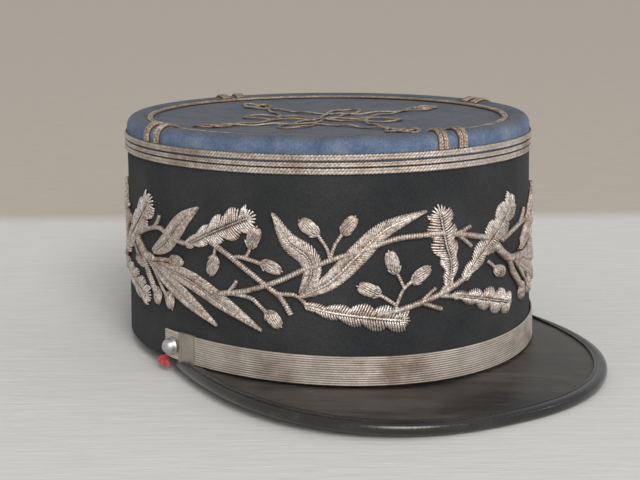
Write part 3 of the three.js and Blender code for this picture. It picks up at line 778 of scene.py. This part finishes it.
def addLeaf(bm, spray, kind, width, rib, draw):
    route, length = routeOf(rib)

    def padPlace(u, v):
        turn = tau * v
        side = 1 if cos(turn) > 0 else -1
        half = leafHalf(kind, width, u, side) * 0.86 * min(1.0, 12 * u, 12 * (1 - u))
        out = garland["base"] - 0.1 + 0.6 * max(0.0, sin(turn)) * min(1.0, 8 * u, 8 * (1 - u))
        point = leafPoint(route, u, half * cos(turn), out)
        return sprayPoint(spray, *point), 1.0

    bendGrid(bm, 14, 8, padPlace)  # padding under the threads
    count = round(length / garland["pitch"][kind])
    for side in (1, -1):
        for k in range(count):
            foot = (k + (0.25 if side > 0 else 0.75)) / count
            advance = width / 2 * garland["slant"][kind] / length
            if kind == "olive":
                advance = min(advance, (1 - foot) * 0.75)
            tip = foot + advance
            if tip > 1.0:
                continue
            reach = leafHalf(kind, width, tip, side) - 0.3 + draw.uniform(-0.05, 0.05)
            lift = draw.uniform(-0.08, 0.08)
            line = []
            for t in garland["ends"]:
                out = garland["base"] + lerp(0.85, 0.05, t * t) + 0.5 * sin(pi * t) + lift
                line.append(leafPoint(route, lerp(foot, tip, t), side * lerp(0.2, reach, t), out))
            addBandThread(bm, spray, line, garland["thread"])
    if kind == "oak":  # a fan closes the rounded end
        for k in range(7):
            spread = radians(22 * (k - 3))
            line = []
            for t in garland["ends"]:
                far = width * lerp(0.03, 0.36 - 0.02 * abs(k - 3), t)
                out = garland["base"] + 0.85 + 0.3 * sin(pi * t) - 0.75 * t * t
                line.append(leafPoint(route, 0.93 + far * cos(spread) / length,
                                      far * sin(spread), out))
            addBandThread(bm, spray, line, garland["thread"])


def addRib(bm, spray, bright, rib):
    route, length = routeOf(rib)
    count = round(length / 0.28)
    line = []
    for k in range(count + 1):
        part = k / count
        point = routePoint(route, part)
        out = garland["base"] + lerp(0.6, 1.15, clamp(sin(pi * part) * 2.5))
        line.append(Vector((point.x, point.y, out)))
    addBandThread(bm, spray, line, 0.62 if bright else 0.42, 7, 1.3)


def addStem(bm, spray, width, points):
    route, length = routeOf(points)
    count = max(4, round(length / 0.24))
    line = []
    for k in range(count + 1):
        point = routePoint(route, k / count)
        line.append(Vector((point.x, point.y, garland["base"] + width * 0.3)))
    addBandThread(bm, spray, line, width * 0.5, 8, garland["wrap"])


# A bud or acorn: threads laid lengthwise over padding, a small cup at the stalk, a pointed tip.
def addBud(bm, spray, place, turn, length, width):
    ahead, aside = cos(radians(turn)), sin(radians(turn))
    length, width = 0.92 * length, 0.88 * width
    high = width * 0.3

    def point(a, b, out):
        return Vector((place[0] + ahead * a - aside * b, place[1] + aside * a + ahead * b, out))

    def corePlace(u, v):
        swell = sin(pi * u) ** 0.8 if 0 < u < 1 else 0.0
        turn = tau * v
        spot = point(-0.46 * length * cos(pi * u), 0.43 * width * swell * cos(turn),
                     garland["base"] + high * 0.85 * swell * max(0.0, sin(turn)))
        return sprayPoint(spray, *spot), 1.0

    bendGrid(bm, 8, 10, corePlace)
    threads = max(6, round(width * pi / 2 / 0.92))
    for k in range(threads):
        start = pi * (k + 0.5) / threads
        line = []
        for step in range(8):
            t = lerp(0.03, 0.97, step / 7)
            around = clamp(start + 1.3 * (t - 0.5), 0.05, pi - 0.05)
            swell = sin(pi * t) ** 0.75
            line.append(point(-0.5 * length * cos(pi * t),
                              0.47 * width * swell * cos(around),
                              garland["base"] + high * swell * sin(around) + 0.05))
        addBandThread(bm, spray, line, 0.42)
    for k in range(5):
        spread = (k - 2) / 2
        line = [
            point(lerp(-0.62, -0.22 - 0.05 * (k % 2), t) * length, spread * 0.56 * width * t ** 0.8,
                  garland["base"] + 0.35 + (high + 0.35) * cos(spread * 1.2) * t ** 0.7)
            for t in (0.0, 0.25, 0.5, 0.75, 1.0)
        ]
        addBandThread(bm, spray, line, 0.44)
    tip = [point(a * length, 0, garland["base"] + 0.4) for a in (0.36, 0.44, 0.52, 0.6)]
    addBandThread(bm, spray, tip, 0.4)


for index, spray in enumerate(sprays):
    draw = random.Random(20 + index)
    for kind, finish in (("olive", bullion), ("oak", brightBullion)):
        bm = bmesh.new()
        for leafKind, width, _, rib in leaves:
            if leafKind == kind:
                addLeaf(bm, spray, kind, width, rib, draw)
        finishPiece(bm, "garland" + kind.capitalize() + spray["name"], finish, "garland")
    for part, bright, finish in (("Stems", False, bullion), ("Ribs", True, brightBullion)):
        bm = bmesh.new()
        for _, _, leafBright, rib in leaves:
            if leafBright == bright:
                addRib(bm, spray, bright, rib)
        if not bright:
            for width, points in stems:
                addStem(bm, spray, width, points)
            for place, turn, length, width in buds:
                addBud(bm, spray, place, turn, length, width)
        finishPiece(bm, "garland" + part + spray["name"], finish, "garland")
print("garland done")

# The chin strap: silver lace woven in long ribs, tarnished in patches.
strap = {
    "height": 11.8, "thickness": 0.9, "clear": 0.3, "end": 129.0, "foot": 0.4, "rise": 2.4,
    "ribs": 13, "ribDepth": 0.2, "ribRows": 5, "backRows": 5, "steps": 260,
}


def strapFoot(angle):
    return strap["foot"] + strap["rise"] * sin(angle) ** 2


def laceFinish():
    finish, tree, shader, place = startFinish("strapLace")
    depth = hollowOf(tree)
    stains = noiseOf(tree, place, 30, 6, 0.68)
    streaks = noiseOf(tree, place, 90, 4, 0.6, (1, 1, 6))
    tone = rampOf(tree, stains, (0.34, (0.3, 0.225, 0.17)), (0.46, (0.5, 0.42, 0.35)),
                  (0.58, (0.66, 0.58, 0.5)), (0.7, (0.8, 0.74, 0.66)))
    tone = blendOf(tree, 0.5, tone, rampOf(tree, streaks, (0.35, 0.5), (0.65, 1.0)), "MULTIPLY")
    tone = blendOf(tree, rampOf(tree, depth, (0.3, 0.0), (1.0, 0.8)), tone, (0.13, 0.1, 0.08))
    fine = noiseOf(tree, place, 1600, 3)
    bump = bumpOf(tree, fine, 0.5, 0.0002)
    setShader(tree, shader, tone, rampOf(tree, stains, (0.3, 0.62), (0.7, 0.42)), bump, metallic=0.4)
    return finish


strapLace = laceFinish()


def strapPlace(u, v):
    angle = angleAt(lerp(-strap["end"], strap["end"], u))
    fronts = strap["ribs"] * strap["ribRows"]
    index = round(v * (fronts + strap["backRows"]))
    share, out, deep = 1 - (index - fronts) / strap["backRows"], strap["clear"], 1.0
    if index <= fronts:
        share = index / fronts
        wave = abs(sin(pi * strap["ribs"] * share))
        shoulder = min(1.0, share * 30, (1 - share) * 30)
        out += strap["thickness"] * (0.55 + 0.45 * shoulder) - strap["ribDepth"] * (1 - wave)
        deep = 1 - wave
    return crownPoint(angle, strapFoot(angle) + strap["height"] * share, out), deep


gridPiece("chinStrap", strapLace, "chin_strap", strap["steps"],
          strap["ribs"] * strap["ribRows"] + strap["backRows"], strapPlace)

# The slides: flat loops of smoother lace, with a raised double edge towards the button.
slide = {"from": 109.3, "to": 118.0, "thickness": 0.7, "steps": 40}
slideTones = ((0.35, (0.28, 0.25, 0.2)), (0.65, (0.39, 0.355, 0.3)))
slideLace = plainFinish("slideLace", (160, 4), slideTones, (1800, 3), 0.4, 0.45, metallic=0.6)


def makeSlide(side, name):
    inner = strap["clear"] + strap["thickness"] + 0.1
    outer = inner + slide["thickness"]
    profile = [
        (strap["clear"], -0.35), (outer - 0.35, -0.5), (outer, -0.1), (outer, 3), (outer, 6),
        (outer, 9), (outer, 11.9), (outer - 0.35, 12.3), (strap["clear"], 12.15),
        (strap["clear"], 11.95), (inner, 11.85), (inner, 6), (inner, -0.05), (strap["clear"], -0.15),
    ]
    count = len(profile)

    def place(u, v):
        angle = angleAt(side * lerp(slide["from"], slide["to"], u))
        out, z = profile[round(v * count) % count]
        if out >= outer - 0.01:
            out += 0.3 * max(exp(-((u - 0.9) / 0.05) ** 2), exp(-((u - 0.72) / 0.05) ** 2))
            out += 0.2 * exp(-((u - 0.06) / 0.05) ** 2)
        return crownPoint(angle, strapFoot(angle) + z, out), 0.0

    gridPiece("strapSlide" + name, slideLace, "strap_slide_" + name.lower(),
              slide["steps"], count, place, 50)


# The buttons: a satin dome spun from its half outline.
button = {"at": 122.3, "height": 8.6, "radius": 3.8, "base": 1.0, "dome": 4.0, "seat": 1.6}
buttonTones = ((0.35, (0.42, 0.41, 0.385)), (0.6, (0.6, 0.59, 0.56)))
satinSilver = plainFinish("satinSilver", (500, 5), buttonTones, (900, 4), 0.15, (0.38, 0.52),
                          metallic=0.9)


def makeButton(side, name):
    bm = bmesh.new()
    radius = button["radius"]
    outline = [(0, 0), (radius - 0.6, 0), (radius - 0.1, 0.45), (radius, 0.9), (radius - 0.12, 1.15)]
    outline += [
        ((radius - 0.35) * cos(turn), button["base"] + button["dome"] * sin(turn))
        for turn in (radians(8 + 8.2 * k) for k in range(11))
    ]
    verts = [bm.verts.new((x, 0, z)) for x, z in outline]
    edges = [bm.edges.new(pair) for pair in zip(verts, verts[1:])]
    bmesh.ops.spin(bm, geom=verts + edges, cent=(0, 0, 0), axis=(0, 0, 1), angle=tau,
                   steps=48, use_merge=True)
    seatPoint = bandPoint(side * button["at"], button["height"], button["seat"])
    outward = bandPoint(side * button["at"], button["height"], button["seat"] + 1) - seatPoint
    turn = upward.rotation_difference(outward).to_matrix().to_4x4()
    bmesh.ops.transform(bm, matrix=Matrix.Translation(seatPoint) @ turn, verts=bm.verts)
    finishPiece(bm, "button" + name, satinSilver, "button_" + name.lower(), 50)


for side, name in ((1, "Left"), (-1, "Right")):
    makeSlide(side, name)
    makeButton(side, name)
print("strap done")

# The visor: stiff patent leather, a little cambered, dusty on top.
visor = {
    "halfWidth": 85.9, "halfLength": 92.6, "centre": -47.6, "squareness": 2.37, "drop": -4.35,
    "slope": 0.024, "curl": 2.9, "twist": -0.014, "camber": 0.9, "thickness": 2.0, "underStrap": 0.8,
    "tip": radians(77), "tipOnOutline": radians(104.3), "steps": 160, "rows": 12,
}


def visorEdge(turn):
    across, along = sin(turn), cos(turn)
    power = visor["squareness"]
    reach = (abs(across) ** power + abs(along) ** power) ** (-1 / power)
    x = visor["halfWidth"] * across * reach
    y = visor["centre"] - visor["halfLength"] * along * reach
    level = visor["drop"] + visor["slope"] * (y + crown["baseLength"] / 2)
    return Vector((x, y, level + visor["curl"] * (x / 90) ** 2 + visor["twist"] * x))


# Where the visor runs, "part" of the way from its right tip to its left one.
def visorLine(part):
    angle = lerp(-visor["tip"], visor["tip"], part)
    turn = lerp(-visor["tipOnOutline"], visor["tipOnOutline"], part)
    inner = crownPoint(angle, 0, 0.4)
    inner.z = strapFoot(angle) - visor["thickness"] / 2 - visor["underStrap"]
    ahead = visorEdge(turn + 0.01) - visorEdge(turn - 0.01)
    inward = Vector((-ahead.y, ahead.x, 0)).normalized()
    edge = visorEdge(turn)
    outer = edge + inward * 2
    return inner, outer, edge, inward


def visorCamber(inner, outer, reach):
    return visor["camber"] * min(1.0, (outer - inner).length / 30) * 4 * reach * (1 - reach)


# Patent leather: worn dull and brown in streaks, with glossier patches between them.
def patentFinish(name, look):
    finish, tree, shader, place = startFinish(name)
    turned = addNode(tree, "Mapping", {"Vector": place, "Rotation": (0, 0, look["grainTurn"])})
    turned = turned.outputs["Vector"]
    wear = noiseOf(tree, turned, 26, 5, 0.65, (0.8, 1.5, 1))
    streaks = noiseOf(tree, turned, 60, 6, 0.75, (0.28, 2.6, 1))
    scratches = noiseOf(tree, turned, 420, 3, 0.5, (0.1, 1.8, 1))
    cover = mathOf(tree, "MULTIPLY", mathOf(tree, "ADD", wear, streaks), 0.5)
    across = addNode(tree, "SeparateXYZ", {"Vector": place}).outputs["X"]
    aside = mathOf(tree, "ABSOLUTE", mathOf(tree, "SUBTRACT", across, look["cleanAt"]), 0.0)
    cover = mathOf(tree, "ADD", cover, mathOf(tree, "MULTIPLY", aside, look["cleaner"]))
    cover = rampOf(tree, cover, *zip((0.43, 0.54, 0.64), look["dust"]))
    tone = blendOf(tree, cover, look["black"], look["dustTone"])
    marks = rampOf(tree, scratches, (0.64, 0.0), (0.72, look["scratch"]))
    tone = blendOf(tree, marks, tone, (0.16, 0.15, 0.13))
    rough = blendOf(tree, cover, (look["rough"][0],) * 3, (look["rough"][1],) * 3)
    bump = bumpOf(tree, noiseOf(tree, place, look["grain"], 5, 0.6), look["pebble"], 0.0006)
    setShader(tree, shader, tone, rough, bump, coat=look["coat"], coatRough=0.15, gloss=look["gloss"])
    return finish


visorLook = {
    "black": (0.010, 0.010, 0.0095), "dustTone": (0.125, 0.11, 0.088), "dust": (0.03, 0.25, 0.6),
    "cleanAt": 0.005, "cleaner": 1.3,  # the polish has lasted best near the middle
    "rough": (0.3, 0.6), "scratch": 0.4, "pebble": 0.12, "coat": 0.0, "gloss": 0.4,
    "grain": 220, "grainTurn": 0.51,
}
bindingLook = {
    "black": (0.009, 0.009, 0.009), "dustTone": (0.07, 0.065, 0.058), "dust": (0.0, 0.08, 0.3),
    "cleanAt": 0.0, "cleaner": 0.6,
    "rough": (0.16, 0.4), "scratch": 0.1, "pebble": 0.3, "coat": 0.4, "gloss": 0.45,
    "grain": 900, "grainTurn": 0.51,
}
visorLeather = patentFinish("visorLeather", visorLook)
bindingLeather = patentFinish("bindingLeather", bindingLook)


def visorPlace(u, v):
    inner, outer = visorLine(u)[:2]
    rows = visor["rows"]
    index = round(v * (2 * rows + 2))
    reach = clamp((index if index <= rows else 2 * rows + 1 - index) / rows)
    point = inner.lerp(outer, reach)
    above = index <= rows or index == 2 * rows + 2
    point.z += visorCamber(inner, outer, reach) + visor["thickness"] / 2 * (1 if above else -1)
    return point, 0.0


gridPiece("visorLeaf", visorLeather, "visor", visor["steps"],
          2 * visor["rows"] + 2, visorPlace, 40)

# Leather binding folded over the visor's edge, with a groove along its inner side.
binding = {"skin": 2.4, "steps": 220, "taper": 0.055}
# how far in from the edge, and height as a share of the skin
bindingSection = (
    (0.0, 0.0), (0.14, 0.4), (0.55, 0.74), (1.4, 0.95), (2.5, 1.0), (3.5, 0.92), (3.95, 0.68),
    (4.3, 0.66), (4.6, 0.84), (5.0, 0.88), (5.4, 0.78), (5.5, 0.5), (5.5, -0.6), (5.0, -0.85),
    (2.6, -0.95), (1.4, -0.92), (0.55, -0.7), (0.15, -0.38),
)


def bindingPlace(u, v):
    inner, outer, edge, inward = visorLine(u)
    count = len(bindingSection)
    depth, high = bindingSection[round(v * count) % count]
    taper = clamp(min(u, 1 - u) / binding["taper"]) ** 0.6
    room = (outer - inner).length
    depth = min(depth * lerp(0.45, 1.0, taper), depth * room / 4)
    skin = binding["skin"] * lerp(0.62, 1.0, taper)
    middle = inner.lerp(outer, 0.5)
    middle.z += visorCamber(inner, outer, 0.5)
    arm = middle - outer
    slope = arm.z / max(0.5, arm.dot(inward))
    point = edge + inward * depth
    point.z += high * skin + slope * max(0.0, depth - 2)
    return point, 0.0


gridPiece("visorBinding", bindingLeather, "visor_binding", binding["steps"],
          len(bindingSection), bindingPlace, 60)
print("visor done")

# A tuft of red thread under the right-hand end of the strap.
tuft = {"at": -129.2, "threads": 90, "radius": 0.24, "top": 3.0, "seed": 7}
redTones = ((0.35, (0.5, 0.02, 0.03)), (0.65, (0.85, 0.08, 0.09)))
redThread = plainFinish("redThread", (500, 4), redTones, (3000, 2), 0.5, 0.7, sheen=0.3)
bm = bmesh.new()
draw = random.Random(tuft["seed"])
plain = {"start": 0.0, "stretch": 1.0}
for k in range(tuft["threads"]):
    side = draw.uniform(-1, 1)
    out = draw.uniform(0.9, 2.6)
    drop = draw.uniform(2.2, 4.6)
    flare = draw.uniform(1.0, 2.2)
    line = []
    for step in range(9):
        t = step / 8
        sway = 0.35 * sin(5 * t + k)
        line.append(Vector((
            tuft["at"] + side * lerp(0.7, 2.3 * flare, t) + sway * t,
            tuft["top"] - drop * t,
            out * lerp(0.7, 1.0, t) + 0.4 * sin(3 * t + 2 * k) * t,
        )))
    addBandThread(bm, plain, line, tuft["radius"], 5)
finishPiece(bm, "threadTuft", redThread, "thread_tuft")

# Floor, light and camera.
studio = {
    "floor": (0.73, 0.715, 0.68), "back": (0.56, 0.49, 0.42), "sky": (0.97, 0.98, 1.0),
    "skyStrength": 0.5,
    "turn": radians(-29.4),  # the cloths lie square to the camera
    "join": 0.25,  # metres behind the cap, where the second cloth starts
}


def makeFloor():
    bm = bmesh.new()
    bmesh.ops.create_grid(bm, x_segments=1, y_segments=1, size=12)
    mesh = bpy.data.meshes.new("floor")
    bm.to_mesh(mesh)
    bm.free()
    floor = addObject("floor", mesh)
    finish, tree, shader, place = startFinish("floorCloth")
    turned = addNode(tree, "Mapping", {"Vector": place, "Rotation": (0, 0, -studio["turn"])})
    turned = turned.outputs["Vector"]
    along = addNode(tree, "SeparateXYZ", {"Vector": turned}).outputs["Y"]
    behind = rampOf(tree, along, (studio["join"], 0.0), (studio["join"] + 0.03, 1.0))
    tone = blendOf(tree, behind, studio["floor"], studio["back"])
    weft = noiseOf(tree, turned, 150, 4, 0.7, (0.25, 2, 2))
    tone = blendOf(tree, 1.0, tone, rampOf(tree, weft, (0.3, 0.9), (0.7, 1.0)), "MULTIPLY")
    setShader(tree, shader, tone, 0.9, bumpOf(tree, weft, 0.4, 0.001), gloss=0.15)
    mesh.materials.append(finish)


makeFloor()
world = bpy.data.worlds.new("studio")
world.use_nodes = True
background = world.node_tree.nodes["Background"]
background.inputs["Color"].default_value = (*studio["sky"], 1)
background.inputs["Strength"].default_value = studio["skyStrength"]
bpy.context.scene.world = world

# name, kind, place and target in metres, power in watts (for the sun, watts a square metre), and
# size in metres (for the sun, radians)
lights = (
    ("key", "SUN", (-0.2, -1.15, 1.0), (0, -0.02, 0.03), 1.25, 0.42),
    ("front", "AREA", (-0.4, -1.1, 0.5), (0, 0, 0.05), 4.2, 0.5),
    ("window", "AREA", (0.85, -0.65, 0.6), (0, -0.05, 0.02), 0.4, 0.09),
)
for name, kind, place, target, power, size in lights:
    light = bpy.data.lights.new(name, kind)
    light.energy = power
    setattr(light, "angle" if kind == "SUN" else "size", size)
    lamp = addObject(name, light)
    lamp.location = place
    aim = Vector(target) - Vector(place)
    lamp.rotation_euler = aim.to_track_quat("-Z", "Y").to_euler()

# The camera, placed round the cap in the cap's own frame (millimetres and degrees).
view = {
    "azimuth": 29.443, "distance": 582.8, "height": 155.97, "yaw": -0.178, "pitch": 11.378,
    "roll": -1.358, "lens": 74.36,
}


def makeCamera():
    azimuth = radians(view["azimuth"])
    heading = azimuth + radians(view["yaw"])
    pitch, roll = radians(view["pitch"]), radians(view["roll"])
    place = Vector((
        -view["distance"] * sin(azimuth), -view["distance"] * cos(azimuth), view["height"],
    )) / 1000
    ahead = Vector((
        sin(heading) * cos(pitch), cos(heading) * cos(pitch), -sin(pitch),
    ))
    right = ahead.cross(upward).normalized()
    up = right.cross(ahead)
    turn = Matrix((right, up, -ahead)).transposed().to_4x4() @ Matrix.Rotation(roll, 4, "Z")
    lens = bpy.data.cameras.new("camera")
    lens.lens = view["lens"]
    lens.sensor_width = 36
    camera = addObject("camera", lens)
    camera.matrix_world = seat @ Matrix.Translation(place) @ turn
    bpy.context.scene.camera = camera


makeCamera()
bpy.context.scene.view_settings.view_transform = "Standard"
print("studio done")
